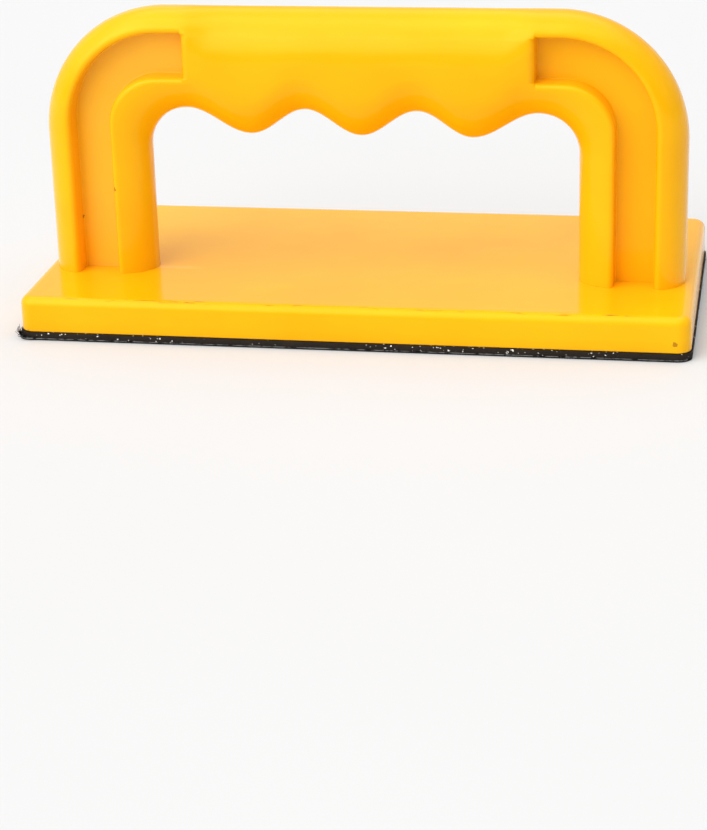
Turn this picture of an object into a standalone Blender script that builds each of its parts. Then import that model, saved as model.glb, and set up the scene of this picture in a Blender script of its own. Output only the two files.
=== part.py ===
"""Sanding block with a bow handle: a ribbed base moulding, a screwed-on handle and a hook-and-loop sole.

Metres, +Z up. The origin is on the working face, under the middle of the base. +X runs along the
block, and -Y is the side that the handle stands nearer to.
"""
import math

import bmesh
import bpy
from mathutils import Matrix, Vector

MM = 0.001
GAP = 0.3 * MM               # clearance between two hard pieces that rest on each other
SHEET_GAP = 0.1 * MM         # clearance between the bonded layers of the sole

# Base moulding
BASE_LENGTH = 210.0 * MM
BASE_DEPTH = 105.0 * MM
BASE_HEIGHT = 11.0 * MM
BASE_CORNER = 4.5 * MM       # radius of the corners seen from above
BASE_EDGE = 2.6 * MM         # radius of the edge round the deck
DECK = 3.0 * MM
SKIRT = 2.8 * MM
RIB = 1.8 * MM
CELLS_ALONG = 10
CELLS_ACROSS = 5

# Sole: hook sheet, glue, foam and glue, from the working face up
SOLE_OVERHANG = 0.5 * MM
HOOK_THICKNESS = 0.7 * MM
GLUE_THICKNESS = 0.15 * MM
FOAM_THICKNESS = 1.3 * MM
GLUE_INSET = 1.5 * MM

# Backing board that closes the underside of the base
BOARD = 2.0 * MM
BOARD_CORNER = 2.0 * MM

# Handle, with heights measured from its feet
HANDLE_Y = -16.0 * MM        # the handle stands off the middle of the deck
HANDLE_DEPTH = 20.0 * MM
HANDLE_HEIGHT = 85.0 * MM
LEG_OUTER = 101.5 * MM
LEG_INNER = 68.0 * MM
OUTER_BEND = 40.0 * MM
INNER_BEND = 12.5 * MM
CAP = 10.0 * MM              # how far the rounding of the bar reaches across its section
BAR_FULLNESS = 2.0           # exponent of the rounding: 2 is an ellipse
GRIP_FULLNESS = 2.5          # the grip is a little squarer than the bar on either side
GRIP_HALF = 54.8 * MM
GRIP_STEP = 0.4 * MM

# Finger grooves under the grip
BUMP_PITCH = 35.0 * MM
MID_GROOVE = 17.7 * MM
END_GROOVE = LEG_INNER - INNER_BEND
GROOVE_HEIGHT = 52.8 * MM
BUMP_HEIGHT = 44.8 * MM

# Recess in both faces of the bar, from each foot to the grip
WEB = 5.0 * MM
RECESS_OUTER = 92.0 * MM
RECESS_INNER = 79.3 * MM
RECESS_TOP = 77.9 * MM
RECESS_BOTTOM = 63.9 * MM
RECESS_OUTER_BEND = 29.5 * MM
RECESS_INNER_BEND = 15.5 * MM

# Handle fixing: two pegs under each leg, each with a screw from below
PEG_XS = (73.7 * MM, 96.6 * MM)
PEG_RADIUS = 3.8 * MM
PEG_LENGTH = 3.3 * MM
PEG_BOSS = 6.2 * MM
PEG_BOSS_FLOOR = 2.5 * MM

# Screws: radii of shank, core and head, height of the head, length under it, and thread pitch
HANDLE_SCREW = {"shank": 2.0 * MM, "core": 1.5 * MM, "head": 3.8 * MM, "rise": 2.4 * MM,
                "length": 15.0 * MM, "pitch": 1.8 * MM}
BOARD_SCREW = {"shank": 1.25 * MM, "core": 0.9 * MM, "head": 2.5 * MM, "rise": 1.5 * MM,
               "length": 6.3 * MM, "pitch": 1.3 * MM}
BOARD_BOSS = 3.6 * MM
HOLE_GROWTH = 0.3 * MM       # how much wider a hole's radius is than its screw's
SLOT_WIDTH = 0.28            # of a cross slot, as a share of the head's radius
SLOT_LENGTH = 1.2

# Heights worked out from the stack
HOOK_GLUE = HOOK_THICKNESS + SHEET_GAP
FOAM = HOOK_GLUE + GLUE_THICKNESS + SHEET_GAP
FOAM_GLUE = FOAM + FOAM_THICKNESS + SHEET_GAP
BASE_BOTTOM = FOAM_GLUE + GLUE_THICKNESS + SHEET_GAP
DECK_TOP = BASE_BOTTOM + BASE_HEIGHT
DECK_UNDER = DECK_TOP - DECK
BOARD_TOP = BASE_BOTTOM + BOARD
RIB_BOTTOM = BOARD_TOP + GAP
FOOT = DECK_TOP + GAP
PEG_END = FOOT - PEG_LENGTH
SOCKET_FLOOR = PEG_END - GAP
PEG_BOSS_UNDER = SOCKET_FLOOR - PEG_BOSS_FLOOR
HOLLOW_LENGTH = BASE_LENGTH - 2 * SKIRT
HOLLOW_DEPTH = BASE_DEPTH - 2 * SKIRT
CELL_X = (HOLLOW_LENGTH + RIB) / CELLS_ALONG
CELL_Y = (HOLLOW_DEPTH + RIB) / CELLS_ACROSS

PEG_PLACES = [(side * x, HANDLE_Y) for side in (-1, 1) for x in PEG_XS]
# Board screws stand where ribs cross: whole steps of a cell along, half steps across
BOARD_SCREW_PLACES = [(along * CELL_X, across * CELL_Y) for along in (-4, 0, 4) for across in (-1.5, 1.5)]


def clear_scene():
    for item in list(bpy.data.objects):
        bpy.data.objects.remove(item, do_unlink=True)


def new_collection(name):
    made = bpy.data.collections.new(name)
    bpy.context.scene.collection.children.link(made)
    return made


def material(name, colour, roughness, metallic=0.0):
    made = bpy.data.materials.new(name)
    made.use_nodes = True
    shader = made.node_tree.nodes["Principled BSDF"]
    shader.inputs["Base Color"].default_value = (*colour, 1.0)
    shader.inputs["Roughness"].default_value = roughness
    shader.inputs["Metallic"].default_value = metallic
    made.diffuse_color = (*colour, 1.0)
    return made


clear_scene()
PARTS = new_collection("sanding_block")
CUTTERS = new_collection("cutters")
CUTTERS.hide_render = True

YELLOW = material("yellow_abs", (0.96, 0.52, 0.02), 0.28)
BOARD_GREY = material("grey_board", (0.30, 0.30, 0.29), 0.6)
BLACK_FOAM = material("black_foam", (0.018, 0.018, 0.020), 0.9)
BLACK_HOOK = material("black_hook_sheet", (0.012, 0.012, 0.014), 0.85)
CLEAR_GLUE = material("clear_glue", (0.75, 0.72, 0.62), 0.4)
ZINC = material("zinc_steel", (0.70, 0.70, 0.68), 0.35, 1.0)


# ---------------------------------------------------------------- tools
def part(name, mesh, finish):
    mesh.materials.append(finish)
    made = bpy.data.objects.new(name, mesh)
    PARTS.objects.link(made)
    return made


def helper(name, mesh):
    """A cutter, or a shape to join, which is not itself a piece of the block."""
    made = bpy.data.objects.new(name, mesh)
    made.hide_render = True
    made.display_type = "WIRE"
    CUTTERS.objects.link(made)
    return made


def mesh_from(bm, name):
    bmesh.ops.recalc_face_normals(bm, faces=bm.faces)
    mesh = bpy.data.meshes.new(name)
    bm.to_mesh(mesh)
    bm.free()
    return mesh


def add_box(bm, size, x, y, low):
    place = Matrix.Translation((x, y, low + size[2] / 2))
    bmesh.ops.create_cube(bm, size=1.0, matrix=place @ Matrix.Diagonal((*size, 1.0)))


def posts(name, places, radius, low, top, low_radius=None, segments=24):
    """A helper made of equal upright cylinders, or of cones when low_radius is given."""
    bm = bmesh.new()
    for x, y in places:
        bmesh.ops.create_cone(bm, cap_ends=True, segments=segments, radius1=low_radius or radius,
                              radius2=radius, depth=top - low,
                              matrix=Matrix.Translation((x, y, (low + top) / 2)))
    return helper(name, mesh_from(bm, name))


def rounded_plate(name, length, depth, low, top, corner, edge=0.0):
    """The mesh of a plate with round corners seen from above and, with edge, a round upper edge."""
    bm = bmesh.new()
    add_box(bm, (length, depth, top - low), 0, 0, low)
    upright = [e for e in bm.edges if abs(e.verts[0].co.z - e.verts[1].co.z) > (top - low) / 2]
    bmesh.ops.bevel(bm, geom=upright, offset=corner, segments=6, profile=0.5, affect="EDGES")
    if edge:
        rim = [e for e in bm.edges if all(v.co.z > top - edge / 4 for v in e.verts)]
        bmesh.ops.bevel(bm, geom=rim, offset=edge, segments=5, profile=0.5, affect="EDGES")
    return mesh_from(bm, name)


def boolean(target, other, operation="DIFFERENCE"):
    step = target.modifiers.new(other.name, "BOOLEAN")
    step.operation = operation
    step.object = other


def smooth(mesh, angle=35):
    mesh.shade_smooth()
    mesh.set_sharp_from_angle(angle=math.radians(angle))


# ---------------------------------------------------------------- base moulding
def cells():
    """The square hollows between the ribs, open downwards."""
    bm = bmesh.new()
    for i in range(CELLS_ALONG):
        for j in range(CELLS_ACROSS):
            x = (i - (CELLS_ALONG - 1) / 2) * CELL_X
            y = (j - (CELLS_ACROSS - 1) / 2) * CELL_Y
            add_box(bm, (CELL_X - RIB, CELL_Y - RIB, DECK_UNDER), x, y, 0)
    return helper("cells", mesh_from(bm, "cells"))


def base_plate():
    name = "base_plate"
    mesh = rounded_plate(name, BASE_LENGTH, BASE_DEPTH, BASE_BOTTOM, DECK_TOP, BASE_CORNER, BASE_EDGE)
    base = part(name, mesh, YELLOW)
    recess = rounded_plate("board_recess", HOLLOW_LENGTH, HOLLOW_DEPTH, 0, RIB_BOTTOM, BOARD_CORNER)
    boolean(base, helper("board_recess", recess))
    boolean(base, cells())

    in_deck = DECK_UNDER + DECK / 2
    boolean(base, posts("peg_bosses", PEG_PLACES, PEG_BOSS, PEG_BOSS_UNDER, in_deck), "UNION")
    boolean(base, posts("board_bosses", BOARD_SCREW_PLACES, BOARD_BOSS, RIB_BOTTOM, in_deck), "UNION")

    above = DECK_TOP + DECK
    passage = HANDLE_SCREW["shank"] + HOLE_GROWTH
    boolean(base, posts("peg_sockets", PEG_PLACES, PEG_RADIUS + GAP, SOCKET_FLOOR, above))
    boolean(base, posts("screw_passages", PEG_PLACES, passage, 0, above, segments=20))

    pilot = BOARD_SCREW["shank"] + HOLE_GROWTH
    end = BASE_BOTTOM + BOARD_SCREW["rise"] + BOARD_SCREW["length"] + GAP
    boolean(base, posts("board_pilots", BOARD_SCREW_PLACES, pilot, 0, end, segments=16))
    smooth(base.data)


# ---------------------------------------------------------------- handle
def arc(centre_x, centre_z, radius, start, end, steps):
    """Points on a circle in the XZ plane; angles in degrees from +X towards +Z."""
    points = []
    for i in range(steps + 1):
        angle = math.radians(start + (end - start) * i / steps)
        points.append((centre_x + radius * math.cos(angle), centre_z + radius * math.sin(angle)))
    return points


def underside(x):
    """Height of the finger contour at x, which rises and falls as a cosine."""
    if x > BUMP_PITCH:
        share = (x - BUMP_PITCH) / (END_GROOVE - BUMP_PITCH)
    elif x > MID_GROOVE:
        share = (BUMP_PITCH - x) / (BUMP_PITCH - MID_GROOVE)
    else:
        share = x / MID_GROOVE
    return BUMP_HEIGHT + (GROOVE_HEIGHT - BUMP_HEIGHT) * (1 - math.cos(math.pi * share)) / 2


def stations():
    """(outer point, inner point, fullness) from the foot to the middle of the grip, points as (x, z)."""
    bend_z = HANDLE_HEIGHT - OUTER_BEND
    inner_z = GROOVE_HEIGHT - INNER_BEND
    found = [((LEG_OUTER, 0.0), (LEG_INNER, 0.0), BAR_FULLNESS)]
    outer = arc(LEG_OUTER - OUTER_BEND, bend_z, OUTER_BEND, 0, 90, 11)
    inner = arc(LEG_INNER - INNER_BEND, inner_z, INNER_BEND, 0, 90, 11)
    found += [(o, i, BAR_FULLNESS) for o, i in zip(outer, inner)]
    step = GRIP_HALF + GRIP_STEP
    found.append(((step, HANDLE_HEIGHT), (step, GROOVE_HEIGHT), BAR_FULLNESS))
    steps = 24
    for i in range(steps + 1):
        x = GRIP_HALF * (1 - i / steps)
        found.append(((x, HANDLE_HEIGHT), (x, underside(x)), GRIP_FULLNESS))
    return found


def section(outer, inner, fullness, steps=7):
    """A ring round the bar: flat front and back, with a rounded cap at outer and at inner."""
    outer = Vector((outer[0], 0, outer[1]))
    inner = Vector((inner[0], 0, inner[1]))
    along = (outer - inner).normalized()
    ring = []
    for sign, end in ((1, outer), (-1, inner)):
        for i in range(steps * 2 + 1):
            angle = math.pi * (0.5 - i / (steps * 2)) * sign
            reach = CAP * (1 - abs(math.cos(angle)) ** (2 / fullness))
            aside = math.copysign(abs(math.sin(angle)) ** (2 / fullness), math.sin(angle))
            ring.append(end - along * sign * reach + Vector((0, HANDLE_DEPTH / 2 * aside, 0)))
    return ring


def half_bar():
    """Half of the bar, lofted from one foot to the middle of the grip and left open there."""
    bm = bmesh.new()
    rings = [[bm.verts.new(point) for point in section(*station)] for station in stations()]
    for low, high in zip(rings, rings[1:]):
        for k, vert in enumerate(low):
            after = (k + 1) % len(low)
            bm.faces.new((vert, low[after], high[after], high[k]))
    bm.faces.new(rings[0])
    bmesh.ops.translate(bm, vec=(0, HANDLE_Y, FOOT), verts=bm.verts)
    return mesh_from(bm, "handle")


def recess_outline():
    """One recess seen from the front, from the foot up its outer side and down its inner side."""
    below = -CAP
    bend_x, bend_z = RECESS_OUTER - RECESS_OUTER_BEND, RECESS_TOP - RECESS_OUTER_BEND
    outer = arc(bend_x, bend_z, RECESS_OUTER_BEND, 0, 90, 14)
    bend_x, bend_z = RECESS_INNER - RECESS_INNER_BEND, RECESS_BOTTOM - RECESS_INNER_BEND
    inner = arc(bend_x, bend_z, RECESS_INNER_BEND, 90, 0, 10)
    grip_end = [(GRIP_HALF, RECESS_TOP), (GRIP_HALF, RECESS_BOTTOM)]
    return [(RECESS_OUTER, below), *outer, *grip_end, *inner, (RECESS_INNER, below)]


def recess(name, turn, side):
    """A slab to cut with. side is -1 or 1 along Y, and half a turn moves the slab to the other leg."""
    thickness = HANDLE_DEPTH / 2
    curve = bpy.data.curves.new(name, "CURVE")
    curve.dimensions = "2D"
    curve.fill_mode = "BOTH"
    curve.extrude = thickness / 2
    points = recess_outline()
    spline = curve.splines.new("POLY")
    spline.points.add(len(points) - 1)
    for target, (x, z) in zip(spline.points, points):
        target.co = (x, z, 0, 1)
    spline.use_cyclic_u = True
    guide = bpy.data.objects.new(name, curve)
    CUTTERS.objects.link(guide)

    place = Matrix.Translation((0, HANDLE_Y + side * (WEB + thickness) / 2, FOOT))
    guide.matrix_world = place @ Matrix.Rotation(turn, 4, "Z") @ Matrix.Rotation(math.pi / 2, 4, "X")
    bpy.context.view_layer.update()
    graph = bpy.context.evaluated_depsgraph_get()
    mesh = bpy.data.meshes.new_from_object(guide.evaluated_get(graph))
    bm = bmesh.new()
    bm.from_mesh(mesh)
    bmesh.ops.remove_doubles(bm, verts=bm.verts, dist=0.00001)
    bmesh.ops.recalc_face_normals(bm, faces=bm.faces)
    bm.to_mesh(mesh)
    bm.free()
    slab = helper(name, mesh)
    slab.matrix_world = guide.matrix_world
    bpy.data.objects.remove(guide, do_unlink=True)
    return slab


def handle():
    made = part("handle", half_bar(), YELLOW)
    mirror = made.modifiers.new("other_half", "MIRROR")
    mirror.merge_threshold = 0.00005
    for leg, turn in (("right", 0.0), ("left", math.pi)):
        for face, side in (("front", -1), ("back", 1)):
            boolean(made, recess(f"recess_{leg}_{face}", turn, side))
    boolean(made, posts("pegs", PEG_PLACES, PEG_RADIUS, PEG_END, FOOT + DECK), "UNION")
    end = PEG_BOSS_UNDER - GAP + HANDLE_SCREW["length"] + DECK / 2
    boolean(made, posts("pilots", PEG_PLACES, HANDLE_SCREW["shank"] + HOLE_GROWTH, 0, end, segments=20))
    smooth(made.data)


# ---------------------------------------------------------------- board and sole
def backing_board():
    length = HOLLOW_LENGTH - 2 * GAP
    depth = HOLLOW_DEPTH - 2 * GAP
    mesh = rounded_plate("backing_board", length, depth, BASE_BOTTOM, BOARD_TOP, BOARD_CORNER)
    board = part("backing_board", mesh, BOARD_GREY)
    hole = BOARD_SCREW["shank"] + HOLE_GROWTH
    slope = (BOARD_SCREW["head"] + GAP - hole) / BOARD_SCREW["rise"]
    mouth = hole + slope * (BOARD_SCREW["rise"] + BASE_BOTTOM)
    sunk = BASE_BOTTOM + BOARD_SCREW["rise"]
    boolean(board, posts("countersinks", BOARD_SCREW_PLACES, hole, 0, sunk, low_radius=mouth))
    boolean(board, posts("board_holes", BOARD_SCREW_PLACES, hole, 0, DECK_TOP))
    smooth(board.data)


def sole_layer(name, low, thickness, overhang, finish):
    mesh = rounded_plate(name, BASE_LENGTH + 2 * overhang, BASE_DEPTH + 2 * overhang, low,
                         low + thickness, BASE_CORNER)
    smooth(mesh)
    part(name, mesh, finish)


def sole():
    sole_layer("hook_sheet", 0.0, HOOK_THICKNESS, SOLE_OVERHANG, BLACK_HOOK)
    sole_layer("hook_glue_film", HOOK_GLUE, GLUE_THICKNESS, -GLUE_INSET, CLEAR_GLUE)
    sole_layer("foam_pad", FOAM, FOAM_THICKNESS, SOLE_OVERHANG, BLACK_FOAM)
    sole_layer("foam_glue_film", FOAM_GLUE, GLUE_THICKNESS, -GLUE_INSET, CLEAR_GLUE)


# ---------------------------------------------------------------- screws
def shank_profile(kind):
    """(radius, height) pairs up a threaded shank, from under the head to the point."""
    taper = 1.2 * kind["shank"]
    profile = [(kind["core"], 0.0)]
    height = kind["pitch"] * 0.6
    while height < kind["length"] - taper - kind["pitch"]:
        profile.append((kind["core"], height))
        profile.append((kind["shank"], height + kind["pitch"] * 0.3))
        profile.append((kind["core"], height + kind["pitch"] * 0.6))
        height += kind["pitch"]
    profile += [(kind["core"], kind["length"] - taper), (0.0, kind["length"])]
    return profile


def screw(name, kind, head_profile, x, y, low, segments):
    """A self-tapping screw that points up; low is the height of the driving face of its head."""
    profile = [(0.0, 0.0), *head_profile]
    profile += [(radius, kind["rise"] + height) for radius, height in shank_profile(kind)]
    profile.reverse()
    mesh = bpy.data.meshes.new(name)
    verts = [(radius, 0.0, height) for radius, height in profile]
    mesh.from_pydata(verts, [(i, i + 1) for i in range(len(verts) - 1)], [])
    made = part(name, mesh, ZINC)
    made.location = (x, y, low)
    turned = made.modifiers.new("turned", "SCREW")
    turned.steps = segments
    turned.render_steps = segments
    turned.use_merge_vertices = True
    turned.merge_threshold = 0.00001
    turned.use_smooth_shade = False
    for direction, (length, width) in (("x", (SLOT_LENGTH, SLOT_WIDTH)), ("y", (SLOT_WIDTH, SLOT_LENGTH))):
        bm = bmesh.new()
        size = (kind["head"] * length, kind["head"] * width, kind["rise"])
        add_box(bm, size, x, y, low - kind["rise"] / 2)
        slot = f"{name}_slot_{direction}"
        boolean(made, helper(slot, mesh_from(bm, slot)))


def screws():
    head, rise = HANDLE_SCREW["head"], HANDLE_SCREW["rise"]
    pan = [(head * 0.70, 0.0), (head * 0.93, rise * 0.3), (head, rise * 0.6), (head, rise)]
    low = PEG_BOSS_UNDER - GAP - rise
    for number, (x, y) in enumerate(PEG_PLACES, 1):
        screw(f"handle_screw_{number}", HANDLE_SCREW, pan, x, y, low, 14)
    countersunk = [(BOARD_SCREW["head"], 0.0), (BOARD_SCREW["head"], 0.1 * BOARD_SCREW["rise"])]
    for number, (x, y) in enumerate(BOARD_SCREW_PLACES, 1):
        screw(f"board_screw_{number}", BOARD_SCREW, countersunk, x, y, BASE_BOTTOM, 12)


base_plate()
handle()
backing_board()
sole()
screws()
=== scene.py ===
"""The looks of the sanding block: glossy yellow mouldings on a black sole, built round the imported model."""
import math
import random

import bmesh
import bpy
from mathutils import Matrix, Vector, noise


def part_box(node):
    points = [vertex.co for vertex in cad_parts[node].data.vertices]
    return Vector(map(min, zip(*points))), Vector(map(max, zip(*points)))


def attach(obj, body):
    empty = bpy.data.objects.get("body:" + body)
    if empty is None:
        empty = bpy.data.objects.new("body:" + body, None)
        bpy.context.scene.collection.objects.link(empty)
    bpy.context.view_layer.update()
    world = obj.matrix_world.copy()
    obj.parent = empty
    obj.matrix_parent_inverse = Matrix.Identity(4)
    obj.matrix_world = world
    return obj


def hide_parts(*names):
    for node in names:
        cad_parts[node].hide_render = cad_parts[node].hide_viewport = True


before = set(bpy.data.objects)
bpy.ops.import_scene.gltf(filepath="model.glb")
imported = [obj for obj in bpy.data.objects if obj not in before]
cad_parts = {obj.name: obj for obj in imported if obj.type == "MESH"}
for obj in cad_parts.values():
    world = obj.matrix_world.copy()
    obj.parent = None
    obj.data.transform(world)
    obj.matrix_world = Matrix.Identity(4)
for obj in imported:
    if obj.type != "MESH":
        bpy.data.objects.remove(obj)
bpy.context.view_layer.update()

MM = 0.001
BASE_LOW, BASE_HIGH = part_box("base_plate")
HANDLE_LOW, HANDLE_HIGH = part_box("handle")
BOARD_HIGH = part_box("backing_board")[1]
FOAM_LOW, FOAM_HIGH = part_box("foam_pad")
HOOK_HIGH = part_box("hook_sheet")[1]

# Camera: where it stands round the block, and where it looks
VIEW_TARGET = Vector((0, 0, 50 * MM))
VIEW_DISTANCE = 0.777
VIEW_AZIMUTH = math.radians(10.0)
VIEW_ELEVATION = math.radians(15.4)
AIM_YAW = math.radians(10.64)
AIM_PITCH = math.radians(21.71)
AIM_ROLL = math.radians(-1.69)
LENS = 104.5

# Base moulding, as in the CAD but for the draft and slightly rounder edges
BASE_CORNER = 4.5 * MM       # radius of its corners seen from above
BASE_EDGE = 2.8 * MM         # rounding round the deck
BASE_LEAN = 0.05 * MM        # draft of its outer faces
FOOT_EDGE = 0.3 * MM         # rounding of its lower edge
DECK = 3.0 * MM
SKIRT = 2.8 * MM
RIB = 1.8 * MM
CELLS_ALONG = 10
CELLS_ACROSS = 5
BOARD_CORNER = 2.0 * MM
HARD_GAP = 0.3 * MM
STAGGER = 0.02 * MM          # keeps faces that would lie in one plane apart

# Fixings, as in the CAD
PEG_XS = (73.7 * MM, 96.6 * MM)
PEG_LENGTH = 3.3 * MM
PEG_RADIUS = 3.8 * MM
PEG_BOSS = 6.2 * MM
PEG_BOSS_FLOOR = 2.5 * MM
HANDLE_PILOT = 2.3 * MM
HANDLE_PILOT_DEPTH = 13.4 * MM
BOARD_BOSS = 3.6 * MM
BOARD_PILOT = 1.55 * MM
BOARD_PILOT_TOP = 8.1 * MM   # above the base's lower edge

# Handle, seen from the front and measured from its feet. The outline is the CAD's; the roundings are finer.
FOOT = HANDLE_LOW.z + PEG_LENGTH
SEAM = 0.03 * MM             # the feet reach down to this close above the deck
TOP = HANDLE_HIGH.z - FOOT
MIDDLE_Y = (HANDLE_LOW.y + HANDLE_HIGH.y) / 2
HALF_DEPTH = (HANDLE_HIGH.y - HANDLE_LOW.y) / 2
LEG_OUTER = HANDLE_HIGH.x
LEG_INNER = 68.0 * MM
OUTER_BEND = 40.0 * MM
INNER_BEND = 12.5 * MM
OUTER_CAP = 10.0 * MM        # how far the rounding of the bar reaches across it from each edge
INNER_CAP = 14.0 * MM
BAR_FULLNESS = 2.0           # exponent of that rounding: 2 is an ellipse
GRIP_CAP = 17.0 * MM
GRIP_FULLNESS = 2.05
GRIP_BLEND = 11.0 * MM       # length over which the bar turns into the grip
BARREL = 1.0 * MM            # how far the grip swells at half its height
GRIP_HALF = 54.8 * MM
BUMP_PITCH = 35.0 * MM
MID_GROOVE = 17.7 * MM
END_GROOVE = LEG_INNER - INNER_BEND
GROOVE_HEIGHT = 52.8 * MM
BUMP_HEIGHT = 44.8 * MM
WEB_HALF = 2.5 * MM
RECESS_OUTER = 92.0 * MM
RECESS_INNER = 79.3 * MM
RECESS_TOP = 77.9 * MM
RECESS_BOTTOM = 63.9 * MM
RECESS_OUTER_BEND = 29.5 * MM
RECESS_INNER_BEND = 15.5 * MM
OUTER_RIM = 2.0 * MM         # rounding of the recess's upper edge on each side of it
INNER_RIM = 1.8 * MM
END_RIM = 2.2 * MM
FILLET = 0.4 * MM            # rounding at its floor
DRAFT = 0.25 * MM            # how far its walls lean
EDGE_SUPPORT = 0.3 * MM      # strip of face kept flat beside each rounding
PARTING_RIDGE = 0.05 * MM    # seam of the mould halves, round the edges of the bar
WAVINESS = 0.08 * MM         # shrinkage of the moulding as it cooled
WAVE = 18.0 * MM             # length of its waves
WAVE_START = Vector((3.1, 0.4, 1.7))

# Stained nicks, as (place, radius): on the left recess's rim, in its corner, and at the right front corner
NICKS = (
    ((-79.0 * MM, -25.1 * MM, 41.7 * MM), 0.7 * MM),
    ((-91.8 * MM, -19.0 * MM, 30.6 * MM), 0.6 * MM),
    ((100.2 * MM, -52.4 * MM, 5.6 * MM), 0.75 * MM),
)

# Sole
LAYER_CORNER = 4.5 * MM
CUT_SPACING = 0.8 * MM       # between points along the cut edge of a layer
CUT_WANDER = 0.15 * MM       # how far the blade strayed
FOAM_CROWN = 0.12 * MM       # bulge of its cut edge
FOAM_LIP = 1.2 * MM          # rim of the foam that swells past the glue films
FOAM_LIP_RISE = 0.27 * MM    # how far the rim swells up and down
BACKING = 0.48 * MM          # thickness of the hook sheet without its hooks
HOOK_PITCH = (2.4 * MM, 2.1 * MM)
HOOK_RIM = 0.3 * MM          # how far outside the other hooks the row along the cut edge stands
FRAYED_CORNER = 1.1 * MM     # how far the sheet's left front corner has stretched outward
CORNER_THREADS = 30
EDGE_THREADS = 60

# Stage and light
FLOOR_RADIUS = 12.0
EVEN_LIGHT = 0.115           # from all round
BACK_GLOW = 0.60
BACK_FALL = 0.20             # how much of it is lost higher up
BACKDROP_SEEN = 0.95         # how bright the backdrop is to the camera


def link(mesh, name, material=None):
    made = bpy.data.objects.new(name, mesh)
    bpy.context.scene.collection.objects.link(made)
    if material:
        mesh.materials.append(material)
    return made


def smooth(mesh, angle=40):
    mesh.shade_smooth()
    mesh.set_sharp_from_angle(angle=math.radians(angle))


# ---------------------------------------------------------------- materials
class Nodes:
    """A material's node tree, with short ways to add to it."""

    def __init__(self, name):
        self.material = bpy.data.materials.new(name)
        self.material.use_nodes = True
        self.tree = self.material.node_tree
        self.shader = self.tree.nodes["Principled BSDF"]
        self.place = self.add("ShaderNodeTexCoord").outputs["Object"]

    def add(self, kind, *inputs, **settings):
        node = self.tree.nodes.new(kind)
        for key, value in settings.items():
            setattr(node, key, value)
        for key, value in enumerate(inputs):
            self.put(node.inputs[key], value)
        return node

    def put(self, socket, value):
        if isinstance(value, bpy.types.NodeSocket):
            self.tree.links.new(value, socket)
        elif value is not None:
            socket.default_value = value

    def set(self, **values):
        for key, value in values.items():
            self.put(self.shader.inputs[key.replace("_", " ")], value)

    def stretched(self, scale):
        node = self.add("ShaderNodeMapping", self.place)
        node.inputs["Scale"].default_value = scale
        return node.outputs[0]

    def noise(self, scale, detail=2.0, roughness=0.5, place=None):
        node = self.add("ShaderNodeTexNoise")
        self.put(node.inputs["Vector"], place or self.place)
        node.inputs["Scale"].default_value = scale
        node.inputs["Detail"].default_value = detail
        node.inputs["Roughness"].default_value = roughness
        return node.outputs["Fac"]

    def ramp(self, value, low, high, to_low=0.0, to_high=1.0):
        node = self.add("ShaderNodeMapRange", value, low, high, to_low, to_high)
        return node.outputs[0]

    def math(self, operation, a, b=0.0):
        return self.add("ShaderNodeMath", a, b, operation=operation).outputs[0]

    def mix(self, share, a, b):
        node = self.add("ShaderNodeMix", data_type="RGBA")
        self.put(node.inputs["Factor"], share)
        self.put(node.inputs["A"], a)
        self.put(node.inputs["B"], b)
        return node.outputs["Result"]

    def bump(self, height, distance, normal=None):
        """Height runs from 0 to 1, and distance says what 1 is in metres."""
        node = self.add("ShaderNodeBump")
        self.put(node.inputs["Height"], height)
        self.put(node.inputs["Normal"], normal)
        node.inputs["Distance"].default_value = distance
        return node.outputs[0]

    def specks(self, spacing, radius, share):
        """1 on round specks of that radius, in some cells of a lattice of that spacing."""
        node = self.add("ShaderNodeTexVoronoi")
        self.put(node.inputs["Vector"], self.place)
        node.inputs["Scale"].default_value = 1 / spacing
        ragged = self.math("MULTIPLY", self.noise(1.5 / radius, 1.0), 2 * radius / spacing)
        near = self.math("LESS_THAN", node.outputs["Distance"], ragged)
        lot = self.add("ShaderNodeSeparateColor", node.outputs["Color"]).outputs[0]
        chosen = self.math("LESS_THAN", lot, share)
        return self.math("MULTIPLY", near, chosen)

    def spot(self, place, radius):
        """1 in a ragged patch of about that radius round one point."""
        away = self.add("ShaderNodeVectorMath", self.place, place, operation="DISTANCE").outputs["Value"]
        ragged = self.math("MULTIPLY", self.noise(1.5 / radius, 2.0), 2 * radius)
        return self.math("LESS_THAN", away, ragged)

    def band(self, axis, low, high, soft):
        """1 where the coordinate along axis (0, 1 or 2) lies between low and high."""
        value = self.add("ShaderNodeSeparateXYZ", self.place).outputs[axis]
        rise = self.ramp(value, low - soft, low + soft)
        return self.math("MULTIPLY", rise, self.ramp(value, high - soft, high + soft, 1.0, 0.0))

    def scratches(self, width, length, turn, share):
        """1 on fine straight marks that run along one direction."""
        node = self.add("ShaderNodeMapping", self.place)
        node.inputs["Rotation"].default_value = turn
        node.inputs["Scale"].default_value = (1 / length, 1 / width, 1 / width)
        return self.ramp(self.noise(1.0, 2.0, 0.6, node.outputs[0]), share, share + 0.03)

    def look(self, colour, roughness, normal):
        self.put(self.shader.inputs["Base Color"], colour)
        self.put(self.shader.inputs["Roughness"], roughness)
        self.put(self.shader.inputs["Normal"], normal)


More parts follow.
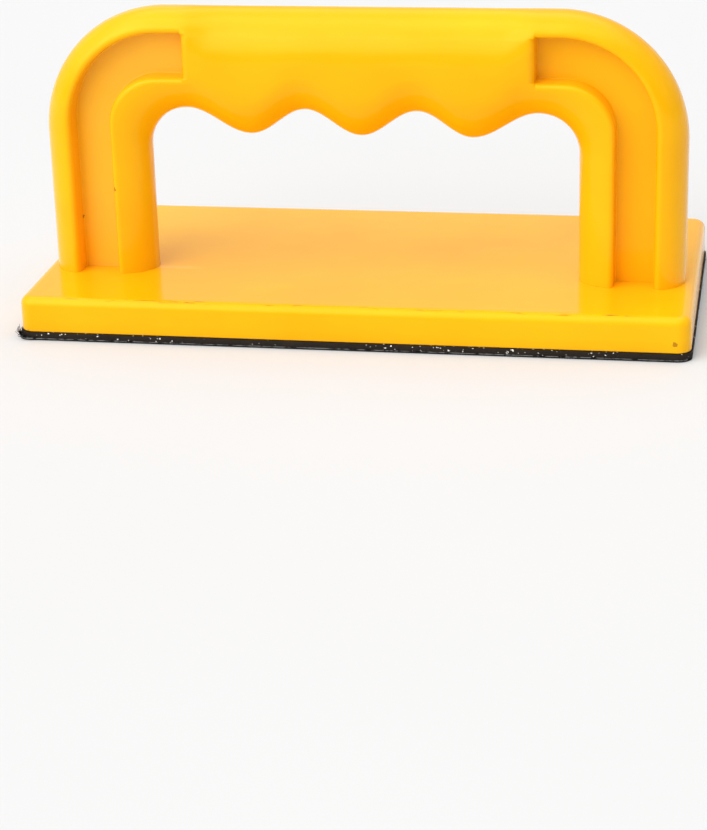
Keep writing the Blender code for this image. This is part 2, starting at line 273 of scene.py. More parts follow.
def moulded_yellow():
    """Glossy moulded ABS: cloudy pigment, scratches, specks, a painted reflection in the left recess, painted
    shade along the lower edge of the base, and a scuffed edge.
    """
    n = Nodes("moulded_yellow")
    cloud = n.ramp(n.noise(24.0, 3.0), 0.35, 0.65)
    flow = n.ramp(n.noise(1.0, 3.0, 0.55, n.stretched((18, 60, 110))), 0.4, 0.7)
    fresh = n.mix(cloud, (0.970, 0.455, 0.0020, 1), (0.985, 0.500, 0.0040, 1))
    colour = n.mix(n.math("MULTIPLY", flow, 0.25), fresh, (0.965, 0.435, 0.0030, 1))
    # Painted shade: the base is painted darker and more orange along its lower edge, just above the sole
    lower_edge_shade = n.math("MULTIPLY", n.band(2, 2 * MM, 4.5 * MM, 2 * MM), 0.3)
    colour = n.mix(lower_edge_shade, colour, (0.90, 0.36, 0.003, 1))
    # Painted reflection: the web of the left recess alone is painted paler and whiter, in patches, as light
    # from the left shows on it
    web = n.math("MULTIPLY", n.band(1, MIDDLE_Y - WEB_HALF - 0.2 * MM, MIDDLE_Y, 0.1 * MM),
                 n.band(0, -RECESS_OUTER + 2 * MM, -GRIP_HALF, 3 * MM))
    left_web_reflection = n.math("MULTIPLY", web, n.ramp(n.noise(30.0, 3.0), 0.3, 0.6, 0.5, 1.0))
    colour = n.mix(n.math("MULTIPLY", left_web_reflection, 0.5), colour, (0.985, 0.56, 0.075, 1))
    front_edge = n.math("MULTIPLY", n.band(1, -51.2 * MM, -49.9 * MM, 0.3 * MM),
                        n.band(2, 12.9 * MM, 14 * MM, 0.2 * MM))
    most_used = n.ramp(n.band(0, -82 * MM, -40 * MM, 6 * MM), 0.0, 1.0, 0.06, 0.0)
    streaks = n.noise(1.0, 4.0, 0.65, n.stretched((140, 1100, 1100)))
    rubbed = n.ramp(n.math("SUBTRACT", streaks, most_used), 0.52, 0.60)
    scuff = n.math("MULTIPLY", front_edge, rubbed)
    colour = n.mix(n.math("MULTIPLY", scuff, 0.8), colour, (0.30, 0.12, 0.010, 1))
    burnt = n.math("MULTIPLY", n.specks(17 * MM, 0.22 * MM, 0.16), 0.75)
    colour = n.mix(burnt, colour, (0.20, 0.07, 0.005, 1))
    for place, radius in NICKS:
        colour = n.mix(n.math("MULTIPLY", n.spot(place, radius), 0.7), colour, (0.28, 0.09, 0.008, 1))
    lines = n.math("MAXIMUM", n.scratches(0.12 * MM, 22 * MM, (0.1, 0.2, 0.35), 0.68),
                   n.scratches(0.15 * MM, 14 * MM, (0.3, -0.2, -0.7), 0.70))
    fine = n.ramp(n.noise(320.0, 3.0), 0.3, 0.7, 0.11, 0.17)
    worn = n.math("ADD", n.math("MULTIPLY", lines, 0.10), n.math("MULTIPLY", scuff, 0.25))
    roughness = n.math("ADD", fine, worn)
    normal = n.bump(n.noise(48.0, 1.0), 0.08 * MM)
    normal = n.bump(n.noise(130.0, 1.0), 0.02 * MM, normal)
    normal = n.bump(n.noise(900.0, 2.0), 0.003 * MM, normal)
    normal = n.bump(n.math("SUBTRACT", 1.0, lines), 0.002 * MM, normal)
    n.look(colour, roughness, normal)
    n.set(IOR=1.5, Specular_Tint=(1.0, 0.75, 0.22, 1))
    return n.material


def black_foam():
    """Closed-cell foam: a cut skin of small cells, with a little white sanding dust in it."""
    n = Nodes("black_foam")
    cells = n.noise(2600.0, 3.0, 0.6)
    worn = n.ramp(n.noise(120.0, 3.0), 0.35, 0.7)
    colour = n.mix(cells, (0.005, 0.0035, 0.0025, 1), (0.026, 0.017, 0.011, 1))
    colour = n.mix(n.math("MULTIPLY", worn, 0.35), colour, (0.036, 0.026, 0.018, 1))
    grains = n.ramp(n.noise(1100.0, 1.0), 0.68, 0.70)
    dusty = n.ramp(n.noise(45.0, 1.0), 0.45, 0.5)
    colour = n.mix(n.math("MULTIPLY", grains, dusty), colour, (0.85, 0.84, 0.80, 1))
    pits = n.ramp(n.noise(1500.0, 2.0), 0.3, 0.6)
    n.look(colour, n.ramp(cells, 0.3, 0.7, 0.65, 0.9), n.bump(pits, 0.12 * MM))
    n.set(Specular_IOR_Level=0.2)
    return n.material


def black_hook():
    """Knitted nylon: rows of loops, and a paler fuzz along the upper edge where it was cut."""
    n = Nodes("black_hook")
    loops = n.noise(1.0, 2.0, 0.5, n.stretched((1600, 1600, 5000)))
    colour = n.mix(loops, (0.001, 0.001, 0.001, 1), (0.009, 0.0085, 0.008, 1))
    upper_edge = n.band(2, 0.50 * MM, 0.85 * MM, 0.05 * MM)
    fuzz = n.math("MULTIPLY", upper_edge, n.ramp(n.noise(700.0, 2.0), 0.40, 0.55))
    colour = n.mix(n.math("MULTIPLY", fuzz, 0.8), colour, (0.24, 0.235, 0.23, 1))
    n.look(colour, n.ramp(loops, 0.3, 0.7, 0.7, 0.95), n.bump(loops, 0.15 * MM))
    n.set(Specular_IOR_Level=0.2)
    return n.material


def grey_board():
    """Pressed fibre board: short matted fibres in two greys."""
    n = Nodes("grey_board")
    fibres = n.noise(1.0, 4.0, 0.6, n.stretched((250, 900, 900)))
    crossed = n.noise(1.0, 4.0, 0.6, n.stretched((900, 250, 900)))
    felt = n.math("MULTIPLY", n.math("ADD", fibres, crossed), 0.5)
    colour = n.mix(n.ramp(felt, 0.4, 0.6), (0.24, 0.24, 0.23, 1), (0.36, 0.36, 0.34, 1))
    n.look(colour, n.ramp(felt, 0.4, 0.6, 0.55, 0.75), n.bump(felt, 0.06 * MM))
    return n.material


def clear_glue():
    """Dried contact glue: an amber film with brush streaks and small bubbles."""
    n = Nodes("clear_glue")
    streaks = n.noise(1.0, 3.0, 0.5, n.stretched((40, 500, 500)))
    bubbles = n.specks(3 * MM, 0.2 * MM, 0.5)
    colour = n.mix(streaks, (0.70, 0.64, 0.50, 1), (0.82, 0.79, 0.70, 1))
    colour = n.mix(n.math("MULTIPLY", bubbles, 0.5), colour, (0.95, 0.94, 0.90, 1))
    n.look(colour, n.ramp(streaks, 0.3, 0.7, 0.3, 0.5), n.bump(streaks, 0.03 * MM))
    n.set(Transmission_Weight=0.4)
    return n.material


def zinc_steel():
    """Bright zinc plate: fine turning marks across the axis, and patches where the plate has dulled."""
    n = Nodes("zinc_steel")
    turned = n.noise(1.0, 2.0, 0.6, n.stretched((120, 120, 9000)))
    dull = n.ramp(n.noise(350.0, 3.0), 0.4, 0.65)
    colour = n.mix(dull, (0.74, 0.74, 0.72, 1), (0.56, 0.56, 0.53, 1))
    roughness = n.math("ADD", n.ramp(dull, 0.0, 1.0, 0.22, 0.42), n.math("MULTIPLY", turned, 0.08))
    n.look(colour, roughness, n.bump(turned, 0.01 * MM))
    n.set(Metallic=1.0)
    return n.material


YELLOW = moulded_yellow()
FOAM = black_foam()
HOOK = black_hook()


def finish_kept_nodes():
    """Gives the pieces whose CAD shape stays their own materials."""
    finishes = {"grey_board": grey_board(), "clear_glue": clear_glue(), "zinc_steel": zinc_steel()}
    kept = {"backing_board": "grey_board"}
    kept.update({f"{layer}_glue_film": "clear_glue" for layer in ("foam", "hook")})
    kept.update({f"handle_screw_{number}": "zinc_steel" for number in range(1, 5)})
    kept.update({f"board_screw_{number}": "zinc_steel" for number in range(1, 7)})
    for name, finish in kept.items():
        for slot in bpy.data.objects[name].material_slots:
            slot.material = finishes[finish]


# ---------------------------------------------------------------- handle
def rounded_step(depth, rim):
    """(offset, share of the depth) down a recess wall, from the rim to the floor."""
    steps = 6
    angles = [math.pi / 2 * i / steps for i in range(steps + 1)]
    upper = [(rim * (math.sin(a) - 1), rim * (1 - math.cos(a))) for a in angles]
    lower = [(DRAFT + FILLET * (1 - math.cos(a)), depth - FILLET * (1 - math.sin(a))) for a in angles]
    found = [(-rim - EDGE_SUPPORT, 0.0), *upper, *lower, (DRAFT + FILLET + EDGE_SUPPORT, depth)]
    return [(offset, fall / depth) for offset, fall in found]


OUTER_STEP, INNER_STEP, END_STEP = (rounded_step(HALF_DEPTH - WEB_HALF, rim)
                                    for rim in (OUTER_RIM, INNER_RIM, END_RIM))


def corner_distance(x, z, side_x, side_z, radius):
    """Distance to a corner that is straight along side_x and side_z and round between, negative inside it."""
    over_x, over_z = x - side_x + radius, z - side_z + radius
    return math.hypot(max(over_x, 0), max(over_z, 0)) + min(max(over_x, over_z), 0) - radius


def crossing(inner, outer, side_x, side_z, radius):
    """How far from inner, on the way to outer, the line leaves that corner."""
    low, high = 0.0, 1.0
    for _ in range(40):
        share = (low + high) / 2
        point = inner + (outer - inner) * share
        if corner_distance(point.x, point.y, side_x, side_z, radius) < 0:
            low = share
        else:
            high = share
    return low * (outer - inner).length


def underside(x):
    """Height of the finger contour at x."""
    if x > BUMP_PITCH:
        share = (x - BUMP_PITCH) / (END_GROOVE - BUMP_PITCH)
    elif x > MID_GROOVE:
        share = (BUMP_PITCH - x) / (BUMP_PITCH - MID_GROOVE)
    else:
        share = x / MID_GROOVE
    return BUMP_HEIGHT + (GROOVE_HEIGHT - BUMP_HEIGHT) * (1 - math.cos(math.pi * share)) / 2


def stations():
    """(outer point, inner point, share of the recess, share of the grip), from the right foot to mid-grip."""
    found = []
    below = BASE_HIGH.z + SEAM - FOOT
    leg_top = TOP - OUTER_BEND
    inner_top = GROOVE_HEIGHT - INNER_BEND
    rings = 24
    for i in range(rings):
        share = i / rings
        outer = Vector((LEG_OUTER, below + (leg_top - below) * share))
        inner = Vector((LEG_INNER, below + (inner_top - below) * share))
        found.append((outer, inner, 1.0, 0.0))
    # round the bend, up to where the recess's end wall starts
    wall = GRIP_HALF + END_STEP[-1][0]
    run = OUTER_BEND * math.pi / 2
    total = run + LEG_OUTER - OUTER_BEND - wall
    turn = math.acos(max(wall - END_GROOVE, 0) / INNER_BEND)
    rings = 44
    for i in range(rings + 1):
        share = i / rings
        angle = min(total * share, run) / OUTER_BEND
        past = max(total * share - run, 0)
        outer = Vector((LEG_OUTER - OUTER_BEND * (1 - math.cos(angle)) - past,
                        leg_top + OUTER_BEND * math.sin(angle)))
        inner = Vector((END_GROOVE + INNER_BEND * math.cos(turn * share),
                        inner_top + INNER_BEND * math.sin(turn * share)))
        found.append((outer, inner, 1.0, 0.0))
    # up the end wall, then along the grip
    for offset, fall in reversed(END_STEP[:-1]):
        x = GRIP_HALF + offset
        found.append((Vector((x, TOP)), Vector((x, edge_height(x))), fall, grip_share(x)))
    rings = 70
    start = GRIP_HALF + END_STEP[0][0]
    for i in range(1, rings + 1):
        x = start * (1 - i / rings)
        found.append((Vector((x, TOP)), Vector((x, underside(x))), 0.0, grip_share(x)))
    return found


def grip_share(x):
    """0 on the bar and 1 on the grip, changing smoothly."""
    share = min(max((GRIP_HALF + FILLET + DRAFT - x) / GRIP_BLEND, 0), 1)
    return share * share * (3 - 2 * share)


def edge_height(x):
    """Height of the bar's lower edge near the end of the grip, on the bend or on the finger contour."""
    if x > END_GROOVE:
        return GROOVE_HEIGHT - INNER_BEND + math.sqrt(INNER_BEND ** 2 - (x - END_GROOVE) ** 2)
    return underside(x)


def cap_height(reach, cap, fullness):
    """Half thickness of the bar at a distance from its edge."""
    left = 1 - min(max(reach / cap, 0), 1)
    return HALF_DEPTH * (1 - left ** fullness) ** (1 / fullness)


def half_section(outer, inner, recess, grip):
    """(distance from the inner edge, half thickness) across one face of the bar."""
    width = (outer - inner).length
    low = crossing(inner, outer, RECESS_INNER, RECESS_BOTTOM, RECESS_INNER_BEND)
    high = crossing(inner, outer, RECESS_OUTER, RECESS_TOP, RECESS_OUTER_BEND)
    outer_cap = OUTER_CAP + (GRIP_CAP - OUTER_CAP) * grip
    outer_fullness = BAR_FULLNESS + (GRIP_FULLNESS - BAR_FULLNESS) * grip
    turns = [1 - math.cos(math.pi / 2 * i / 16) for i in range(1, 16)]
    web = [(low + (high - low) * share, 1.0) for share in (0.3, 0.4, 0.5, 0.6, 0.7)]
    places = [((low + INNER_STEP[0][0]) * turn, 0.0) for turn in turns]
    places += [(low + offset, fall) for offset, fall in INNER_STEP]
    places += web
    places += [(high - offset, fall) for offset, fall in reversed(OUTER_STEP)]
    places += [(width - (width - high + OUTER_STEP[0][0]) * turn, 0.0) for turn in reversed(turns)]
    found = []
    for at, fall in places:
        from_inner = cap_height(at, INNER_CAP, BAR_FULLNESS)
        full = min(from_inner, cap_height(width - at, outer_cap, outer_fullness))
        full += BARREL * grip * math.sin(math.pi * min(max(at / width, 0), 1)) ** 2
        found.append((at, WEB_HALF + (full - WEB_HALF) * (1 - fall * recess) if fall else full))
    return found


def ring(outer, inner, recess, grip):
    """Points round the bar, from its inner edge over the front face to its outer edge and back."""
    along = (outer - inner).normalized()
    half = half_section(outer, inner, recess, grip)
    width = (outer - inner).length
    front = [(at, -thick) for at, thick in half]
    back = [(at, thick) for at, thick in reversed(half)]
    points = []
    for at, aside in [(-PARTING_RIDGE, 0.0), *front, (width + PARTING_RIDGE, 0.0), *back]:
        flat = inner + along * at
        points.append((flat.x, aside, flat.y))
    return points


def loft(rings):
    """A closed mesh through the rings, with flat ends."""
    bm = bmesh.new()
    made = [[bm.verts.new(point) for point in points] for points in rings]
    for low, high in zip(made, made[1:]):
        for k, vert in enumerate(low):
            after = (k + 1) % len(low)
            bm.faces.new((vert, low[after], high[after], high[k]))
    bm.faces.new(made[0])
    bm.faces.new(made[-1])
    bmesh.ops.recalc_face_normals(bm, faces=bm.faces)
    return bm


def uprights(places, radius, low, top, tip=0.0, sides=40):
    """Closed upright cylinders, narrower at their lower end by tip."""
    bm = bmesh.new()
    for x, y in places:
        middle = Matrix.Translation((x, y, (low + top) / 2))
        bmesh.ops.create_cone(bm, cap_ends=True, segments=sides, radius1=radius - tip, radius2=radius,
                              depth=top - low, matrix=middle)
    return bm


def carve(piece, steps):
    """Joins or cuts the piece with each (operation, shape) in turn, and keeps the result."""
    tools = []
    for operation, bm in steps:
        mesh = bpy.data.meshes.new("tool")
        bmesh.ops.recalc_face_normals(bm, faces=bm.faces)
        bm.to_mesh(mesh)
        bm.free()
        tools.append(link(mesh, "tool"))
        step = piece.modifiers.new("step", "BOOLEAN")
        step.solver = "MANIFOLD"
        step.operation = operation
        step.object = tools[-1]
    graph = bpy.context.evaluated_depsgraph_get()
    carved = bpy.data.meshes.new_from_object(piece.evaluated_get(graph))
    piece.modifiers.clear()
    piece.data = carved
    for tool in tools:
        bpy.data.objects.remove(tool, do_unlink=True)
    smooth(carved)


def settle(piece, node):
    """Fits a finished piece into the frame, in place of a CAD node if one is named."""
    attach(piece, "root")
    if node:
        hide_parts(node)


def piece_from(bm, name, material):
    bmesh.ops.recalc_face_normals(bm, faces=bm.faces)
    mesh = bpy.data.meshes.new(name)
    bm.to_mesh(mesh)
    bm.free()
    smooth(mesh)
    return link(mesh, name, material)


PEG_PLACES = [(side * x, MIDDLE_Y) for side in (-1, 1) for x in PEG_XS]


def handle():
    """The bow, lofted from foot to foot, with its pegs and the screws' pilot holes."""
    right = [ring(*station) for station in stations()]
    left = [[(-x, y, z) for x, y, z in points] for points in reversed(right[:-1])]
    bm = loft(right + left)
    # The faces sank unevenly as they cooled, but not at the feet
    for vert in bm.verts:
        share = min(max(vert.co.z / WAVE, 0), 1)
        vert.co.y += WAVINESS * share * noise.noise(vert.co / WAVE + WAVE_START)
    bmesh.ops.translate(bm, vec=(0, MIDDLE_Y, FOOT), verts=bm.verts)
    made = piece_from(bm, "handle_moulding", YELLOW)
    carve(made, (
        ("UNION", uprights(PEG_PLACES, PEG_RADIUS, HANDLE_LOW.z, FOOT + 1.5 * MM, tip=0.1 * MM)),
        ("DIFFERENCE", uprights(PEG_PLACES, HANDLE_PILOT, 0, HANDLE_LOW.z + HANDLE_PILOT_DEPTH)),
    ))
    settle(made, "handle")


# ---------------------------------------------------------------- base
def plate_outline(half_x, half_y, radius, corner_steps=12):
    """Points round a rectangle with round corners."""
    points = []
    for cx, cy, start in ((1, 1, 0), (-1, 1, 90), (-1, -1, 180), (1, -1, 270)):
        for i in range(corner_steps + 1):
            angle = math.radians(start + 90 * i / corner_steps)
            points.append(((half_x - radius) * cx + radius * math.cos(angle),
                           (half_y - radius) * cy + radius * math.sin(angle)))
    return points


def plate(half_x, half_y, radius, profile):
    """A closed plate lofted through (inset, height) pairs."""
    return loft([[(x, y, z) for x, y in plate_outline(half_x - inset, half_y - inset, radius - inset)]
                 for inset, z in profile])


def base():
    """The deck and its skirt, ribbed underneath, with bosses and sockets for the fixings."""
    low, top = BASE_LOW.z, BASE_HIGH.z
    profile = [(FOOT_EDGE * 2, low), (FOOT_EDGE, low), (FOOT_EDGE * 0.3, low + FOOT_EDGE * 0.3),
               (0.0, low + FOOT_EDGE), (0.0, low + FOOT_EDGE * 2)]
    steps = 12
    for i in range(steps + 1):
        a = math.pi / 2 * i / steps
        profile.append((BASE_LEAN + BASE_EDGE * (1 - math.cos(a)), top - BASE_EDGE * (1 - math.sin(a))))
    profile.append((BASE_LEAN + BASE_EDGE + EDGE_SUPPORT, top))
    made = piece_from(plate(BASE_HIGH.x, BASE_HIGH.y, BASE_CORNER, profile), "base_moulding", YELLOW)

    hollow_x, hollow_y = BASE_HIGH.x - SKIRT, BASE_HIGH.y - SKIRT
    rib_bottom = BOARD_HIGH.z + HARD_GAP
    deck_under = top - DECK
    socket_floor = HANDLE_LOW.z - HARD_GAP
    step_x, step_y = (2 * hollow_x + RIB) / CELLS_ALONG, (2 * hollow_y + RIB) / CELLS_ACROSS
    cells = bmesh.new()
    for i in range(CELLS_ALONG):
        for j in range(CELLS_ACROSS):
            middle = Vector(((i - (CELLS_ALONG - 1) / 2) * step_x, (j - (CELLS_ACROSS - 1) / 2) * step_y,
                             deck_under / 2))
            size = Matrix.Diagonal((step_x - RIB, step_y - RIB, deck_under, 1))
            bmesh.ops.create_cube(cells, size=1.0, matrix=Matrix.Translation(middle) @ size)
    screws = [(along * step_x, across * step_y) for along in (-4, 0, 4) for across in (-1.5, 1.5)]
    in_deck = top - DECK / 2
    above = top + DECK
    board_room = plate(hollow_x + STAGGER, hollow_y + STAGGER, BOARD_CORNER, ((0, 0), (0, rib_bottom)))
    carve(made, (
        ("DIFFERENCE", board_room),
        ("DIFFERENCE", cells),
        ("UNION", uprights(PEG_PLACES, PEG_BOSS, socket_floor - PEG_BOSS_FLOOR, in_deck)),
        ("UNION", uprights(screws, BOARD_BOSS, rib_bottom + STAGGER, in_deck)),
        ("DIFFERENCE", uprights(PEG_PLACES, PEG_RADIUS + HARD_GAP, socket_floor, above)),
        ("DIFFERENCE", uprights(PEG_PLACES, HANDLE_PILOT, 0, above)),
        ("DIFFERENCE", uprights(screws, BOARD_PILOT, 0, low + BOARD_PILOT_TOP, sides=24)),
    ))
    settle(made, "base_plate")


# ---------------------------------------------------------------- sole
def cut_outline(half_x, half_y):
    """(point, outward direction) round a layer cut with round corners, at close spacing."""
    corners = plate_outline(half_x, half_y, LAYER_CORNER)
    found = []
    for (x, y), (after_x, after_y) in zip(corners, corners[1:] + corners[:1]):
        start, end = Vector((x, y)), Vector((after_x, after_y))
        steps = max(1, round((end - start).length / CUT_SPACING))
        for i in range(steps):
            point = start.lerp(end, i / steps)
            core = Vector((max(min(point.x, half_x - LAYER_CORNER), LAYER_CORNER - half_x),
                           max(min(point.y, half_y - LAYER_CORNER), LAYER_CORNER - half_y)))
            found.append((point, (point - core).normalized()))
    return found


def cut_layer(name, half_x, half_y, profile, seed, material, corner_growth=0.0):
    """A layer lofted through (offset, height, wander) rows, with a cut edge that wanders as a blade does."""
    outline = cut_outline(half_x, half_y)
    rings = []
    for row, (offset, z, wander) in enumerate(profile):
        points = []
        for point, out in outline:
            place = Vector((point.x, point.y, seed + 0.0004 * row))
            drift = noise.noise(place * 60) + 0.4 * noise.noise(place * 700)
            from_corner = (point - Vector((-half_x, -half_y))).length
            growth = corner_growth * max(0, 1 - from_corner / (9 * MM)) ** 1.5
            at = point + out * (offset + wander * CUT_WANDER * drift + growth)
            points.append((at.x, at.y, z))
        rings.append(points)
    return piece_from(loft(rings), name, material)


def foam_layer():
    """The foam between the glue films; past their edges its rim swells and hides them."""
    low, high = FOAM_LOW.z, FOAM_HIGH.z
    under, over = low - FOAM_LIP_RISE, high + FOAM_LIP_RISE
    half_x, half_y = FOAM_HIGH.x - CUT_WANDER, FOAM_HIGH.y - CUT_WANDER
    profile = [(-FOAM_LIP - 0.3 * MM, low, 0), (-FOAM_LIP, low, 0), (-FOAM_LIP + 0.2 * MM, under, 0),
               (-0.1 * MM, under, 1), (-0.03 * MM, under + 0.05 * MM, 1)]
    rows = 7
    for i in range(rows):
        share = (i + 0.5) / rows
        profile.append((FOAM_CROWN * math.sin(math.pi * share), under + (over - under) * share, 1))
    profile += [(-0.03 * MM, over - 0.05 * MM, 1), (-0.1 * MM, over, 1), (-FOAM_LIP + 0.2 * MM, over, 0),
                (-FOAM_LIP, high, 0), (-FOAM_LIP - 0.3 * MM, high, 0)]
    made = cut_layer("foam_layer", half_x, half_y, profile, 0.3, FOAM)
    settle(made, "foam_pad")
    return made


def hook_rows(half_x, half_y):
    """Places of the hooks: a row along the cut edge, and staggered rows inside it."""
    across, along = HOOK_PITCH
    places = []
    rows = int(half_y / along)
    for row in range(-rows, rows + 1):
        shift = across / 2 * (row % 2)
        count = int((half_x - shift) / across)
        places += [(i * across + shift, row * along) for i in range(-count, count + 1)]
    keep = Vector((half_x, half_y)) - Vector((LAYER_CORNER, LAYER_CORNER))
    rim = [tuple(point) for point, out in cut_outline(half_x + HOOK_RIM, half_y + HOOK_RIM)]

    def inside(x, y):
        over = math.hypot(max(abs(x) - keep.x, 0), max(abs(y) - keep.y, 0))
        return abs(x) <= half_x and over < LAYER_CORNER

    return rim + [(x, y) for x, y in places if inside(x, y)]


def hook_pile(half_x, half_y, top):
    """The short mushroom-headed hooks under the sheet."""
    profile = ((0.17 * MM, top), (0.13 * MM, 0.12 * MM), (0.30 * MM, 0.07 * MM), (0.16 * MM, 0.0))
    sides = 4
    verts, faces = [], []
    for number, (x, y) in enumerate(hook_rows(half_x, half_y)):
        turn = noise.cell(Vector((number * 1.37, 0.5, 0.5))) * math.pi
        start = len(verts)
        for radius, z in profile:
            for k in range(sides):
                angle = turn + 2 * math.pi * k / sides
                verts.append((x + radius * math.cos(angle), y + radius * math.sin(angle), z))
        for row in range(len(profile) - 1):
            for k in range(sides):
                low, after = start + row * sides, (k + 1) % sides
                faces.append((low + k, low + sides + k, low + sides + after, low + after))
        faces.append([start + k for k in range(sides)])
        last = start + (len(profile) - 1) * sides
        faces.append([last + k for k in reversed(range(sides))])
    mesh = bpy.data.meshes.new("hook_pile")
    mesh.from_pydata(verts, [], faces)
    bm = bmesh.new()
    bm.from_mesh(mesh)
    bpy.data.meshes.remove(mesh)
    made = piece_from(bm, "hook_pile", HOOK)
    settle(made, None)
    return made


def strand(bm, start, out, length, radius, seed):
    """One loose thread that leaves start along out and wanders."""
    sides, steps = 5, 7
    course, place, rings = out.normalized(), start.copy(), []
    for i in range(steps + 1):
        across = course.cross(Vector((0, 0, 1))).normalized()
        up = across.cross(course)
        size = radius * (1 - 0.6 * i / steps)
        rings.append([bm.verts.new(place + (across * math.cos(a) + up * math.sin(a)) * size)
                      for a in (2 * math.pi * k / sides for k in range(sides))])
        # noise_vector is offset by the clock when Blender starts, so each run bends the threads anew
        bend = noise.noise_vector(Vector((seed * 3.7, i * 0.45, 0.2)))
        course = (course + bend * 0.7 + Vector((0, 0, 0.02))).normalized()
        place += course * length / steps
        place.z = min(max(place.z, radius), HOOK_HIGH.z + 3.6 * MM)
    for low, high in zip(rings, rings[1:]):
        for k in range(sides):
            bm.faces.new((low[k], low[(k + 1) % sides], high[(k + 1) % sides], high[k]))
    bm.faces.new(rings[0])
    bm.faces.new(rings[-1])


def loose_threads(half_x, half_y):
    """Threads that have pulled out of the sheet's cut edge, the longest of them at the left front corner."""
    draw = random.Random(11)
    bm = bmesh.new()
    height = HOOK_HIGH.z - 0.2 * MM
    for number in range(CORNER_THREADS):
        angle = math.radians(draw.uniform(185, 262))
        out = Vector((math.cos(angle), math.sin(angle), draw.uniform(0.8, 3.0)))
        middle = Vector((LAYER_CORNER - half_x, LAYER_CORNER - half_y, height))
        start = middle + Vector((out.x, out.y, 0)).normalized() * (LAYER_CORNER + 0.1 * MM)
        strand(bm, start, out, draw.uniform(1.4, 3.6) * MM, 0.13 * MM, number)
    for number in range(EDGE_THREADS):
        side, place = draw.choice("fbrl"), draw.uniform(-0.95, 0.95)
        sign = -1 if side in "fl" else 1
        astray = draw.uniform(-1, 1)
        if side in "fb":
            start = Vector((place * half_x, sign * half_y, height))
            out = Vector((astray, sign, 0))
        else:
            start = Vector((sign * half_x, place * half_y, height))
            out = Vector((sign, astray, 0))
        out.z = draw.uniform(-0.2, 0.5)
        strand(bm, start, out, draw.uniform(0.3, 0.8) * MM, 0.05 * MM, 40 + number)
    made = piece_from(bm, "loose_threads", HOOK)
    settle(made, None)
    return made


def hook_layer():
    """The hook sheet that the block stands on, with its hooks and its loose threads."""
    top = HOOK_HIGH.z
    low = top - BACKING
    half_x, half_y = HOOK_HIGH.x - CUT_WANDER, HOOK_HIGH.y - CUT_WANDER
    profile = [(-1.2 * MM, low, 0), (-0.08 * MM, low, 1), (0, low + 0.05 * MM, 1),
               (0.02 * MM, (low + top) / 2, 1),
               (0, top - 0.05 * MM, 1), (-0.08 * MM, top, 1), (-1.2 * MM, top, 0)]
    made = cut_layer("hook_layer", half_x, half_y, profile, 1.7, HOOK, corner_growth=FRAYED_CORNER)
    settle(made, "hook_sheet")
    pile = hook_pile(half_x - 0.5 * MM, half_y - 0.5 * MM, low + 0.04 * MM)
    threads = loose_threads(half_x, half_y)


handle()
base()
foam_layer()
hook_layer()
finish_kept_nodes()


# ---------------------------------------------------------------- stage, light and camera
def stage():
    """A wide pale floor."""
    bm = bmesh.new()
    bmesh.ops.create_circle(bm, cap_ends=True, segments=96, radius=FLOOR_RADIUS)
    mesh = bpy.data.meshes.new("studio_floor")
    bm.to_mesh(mesh)
    bm.free()
    n = Nodes("studio_paper")
    paper = n.mix(n.noise(6.0, 2.0), (0.675, 0.675, 0.675, 1), (0.69, 0.69, 0.69, 1))
    n.set(Base_Color=paper, Roughness=0.9)
    link(mesh, "studio_floor", n.material)


def heading(azimuth, elevation):
    """Unit vector towards an azimuth, 0 in front and -90 on the left, and an elevation, in radians."""
    level = math.cos(elevation)
    return Vector((math.sin(azimuth) * level, -math.cos(azimuth) * level, math.sin(elevation)))


# Softboxes far off: azimuth, elevation, radius of the even part and of its edge, in degrees, and strength
SOFTBOXES = (
    (-38, 52, 15, 32, 1.20),
    (-38, 26, 15, 32, 1.95),
    (-62, 35, 12, 30, 0.70),
    (-88, 25, 15, 40, 0.60),
    (12, 50, 20, 40, 0.43),
    (5, 18, 12, 32, 0.34),
    (-10, 30, 4, 15, 1.00),
    (88, 30, 15, 40, 0.42),
    (0, 90, 25, 50, 1.40),
)


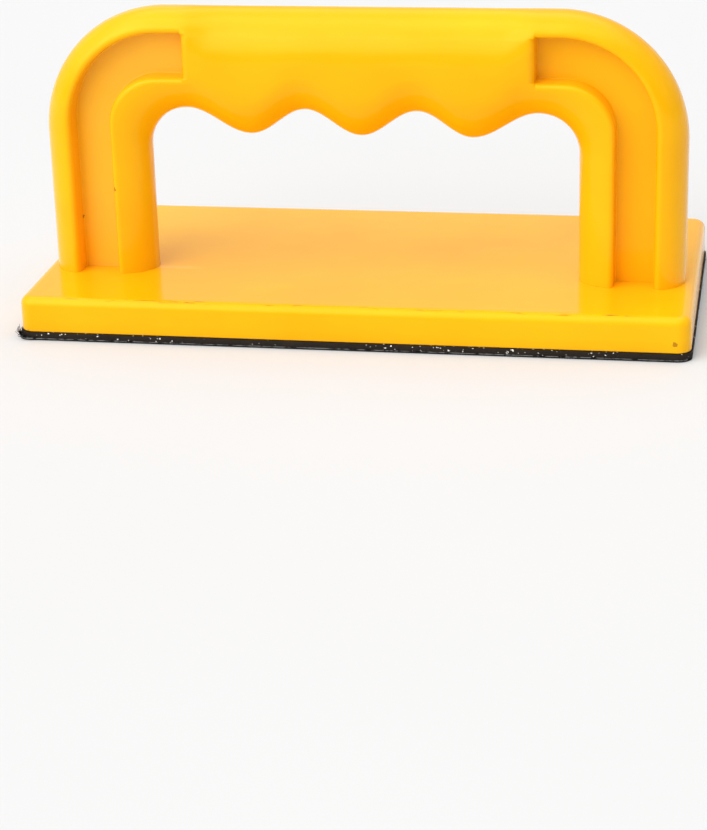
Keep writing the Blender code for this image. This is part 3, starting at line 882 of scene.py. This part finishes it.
def studio_world():
    world = bpy.data.worlds.new("studio")
    world.use_nodes = True
    tree = world.node_tree
    shader = tree.nodes["Background"]
    shader.inputs["Color"].default_value = (1, 1, 1, 1)
    direction = tree.nodes.new("ShaderNodeTexCoord").outputs["Generated"]

    def math_node(operation, a, b):
        node = tree.nodes.new("ShaderNodeMath")
        node.operation = operation
        for socket, value in zip(node.inputs, (a, b)):
            if isinstance(value, bpy.types.NodeSocket):
                tree.links.new(value, socket)
            else:
                socket.default_value = value
        return node.outputs[0]

    def toward(axis, start, full, strength):
        """Light from round a direction, in cosines of the angle to it: full above full, none below start."""
        dot = tree.nodes.new("ShaderNodeVectorMath")
        dot.operation = "DOT_PRODUCT"
        tree.links.new(direction, dot.inputs[0])
        dot.inputs[1].default_value = axis
        fade = tree.nodes.new("ShaderNodeMapRange")
        fade.interpolation_type = "SMOOTHSTEP"
        tree.links.new(dot.outputs["Value"], fade.inputs[0])
        fade.inputs[1].default_value, fade.inputs[2].default_value = start, full
        fade.inputs[3].default_value, fade.inputs[4].default_value = 0.0, strength
        return fade.outputs[0]

    total = EVEN_LIGHT
    for azimuth, elevation, even, edge, strength in SOFTBOXES:
        start, full = math.cos(math.radians(edge)), math.cos(math.radians(even))
        axis = heading(math.radians(azimuth), math.radians(elevation))
        total = math_node("ADD", total, toward(axis, start, full, strength))
    # Behind the block the backdrop is brightest low down, which is what the deck mirrors
    glow = math_node("SUBTRACT", BACK_GLOW, toward((0, 0, 1), 0.26, 0.36, BACK_FALL))
    back = math_node("MULTIPLY", toward((0, 1, 0), 0.2, 0.7, 1.0), glow)
    total = math_node("ADD", total, back)
    camera_ray = tree.nodes.new("ShaderNodeLightPath").outputs["Is Camera Ray"]
    seen = math_node("MAXIMUM", total, math_node("MULTIPLY", camera_ray, BACKDROP_SEEN))
    tree.links.new(seen, shader.inputs["Strength"])
    bpy.context.scene.world = world


def studio():
    stage()
    studio_world()
    bpy.context.scene.view_settings.view_transform = "Standard"


def camera():
    """Stands about where the photograph was taken from, and turns to the block without shifting the lens."""
    data = bpy.data.cameras.new("camera")
    data.lens = LENS
    made = bpy.data.objects.new("camera", data)
    bpy.context.scene.collection.objects.link(made)
    place = VIEW_TARGET + heading(VIEW_AZIMUTH, VIEW_ELEVATION) * VIEW_DISTANCE
    turn = (Matrix.Rotation(AIM_YAW, 4, "Z") @ Matrix.Rotation(math.pi / 2 - AIM_PITCH, 4, "X")
            @ Matrix.Rotation(AIM_ROLL, 4, "Z"))
    made.matrix_world = Matrix.Translation(place) @ turn
    data.clip_start, data.clip_end = 0.01, 20
    bpy.context.scene.camera = made


studio()
camera()
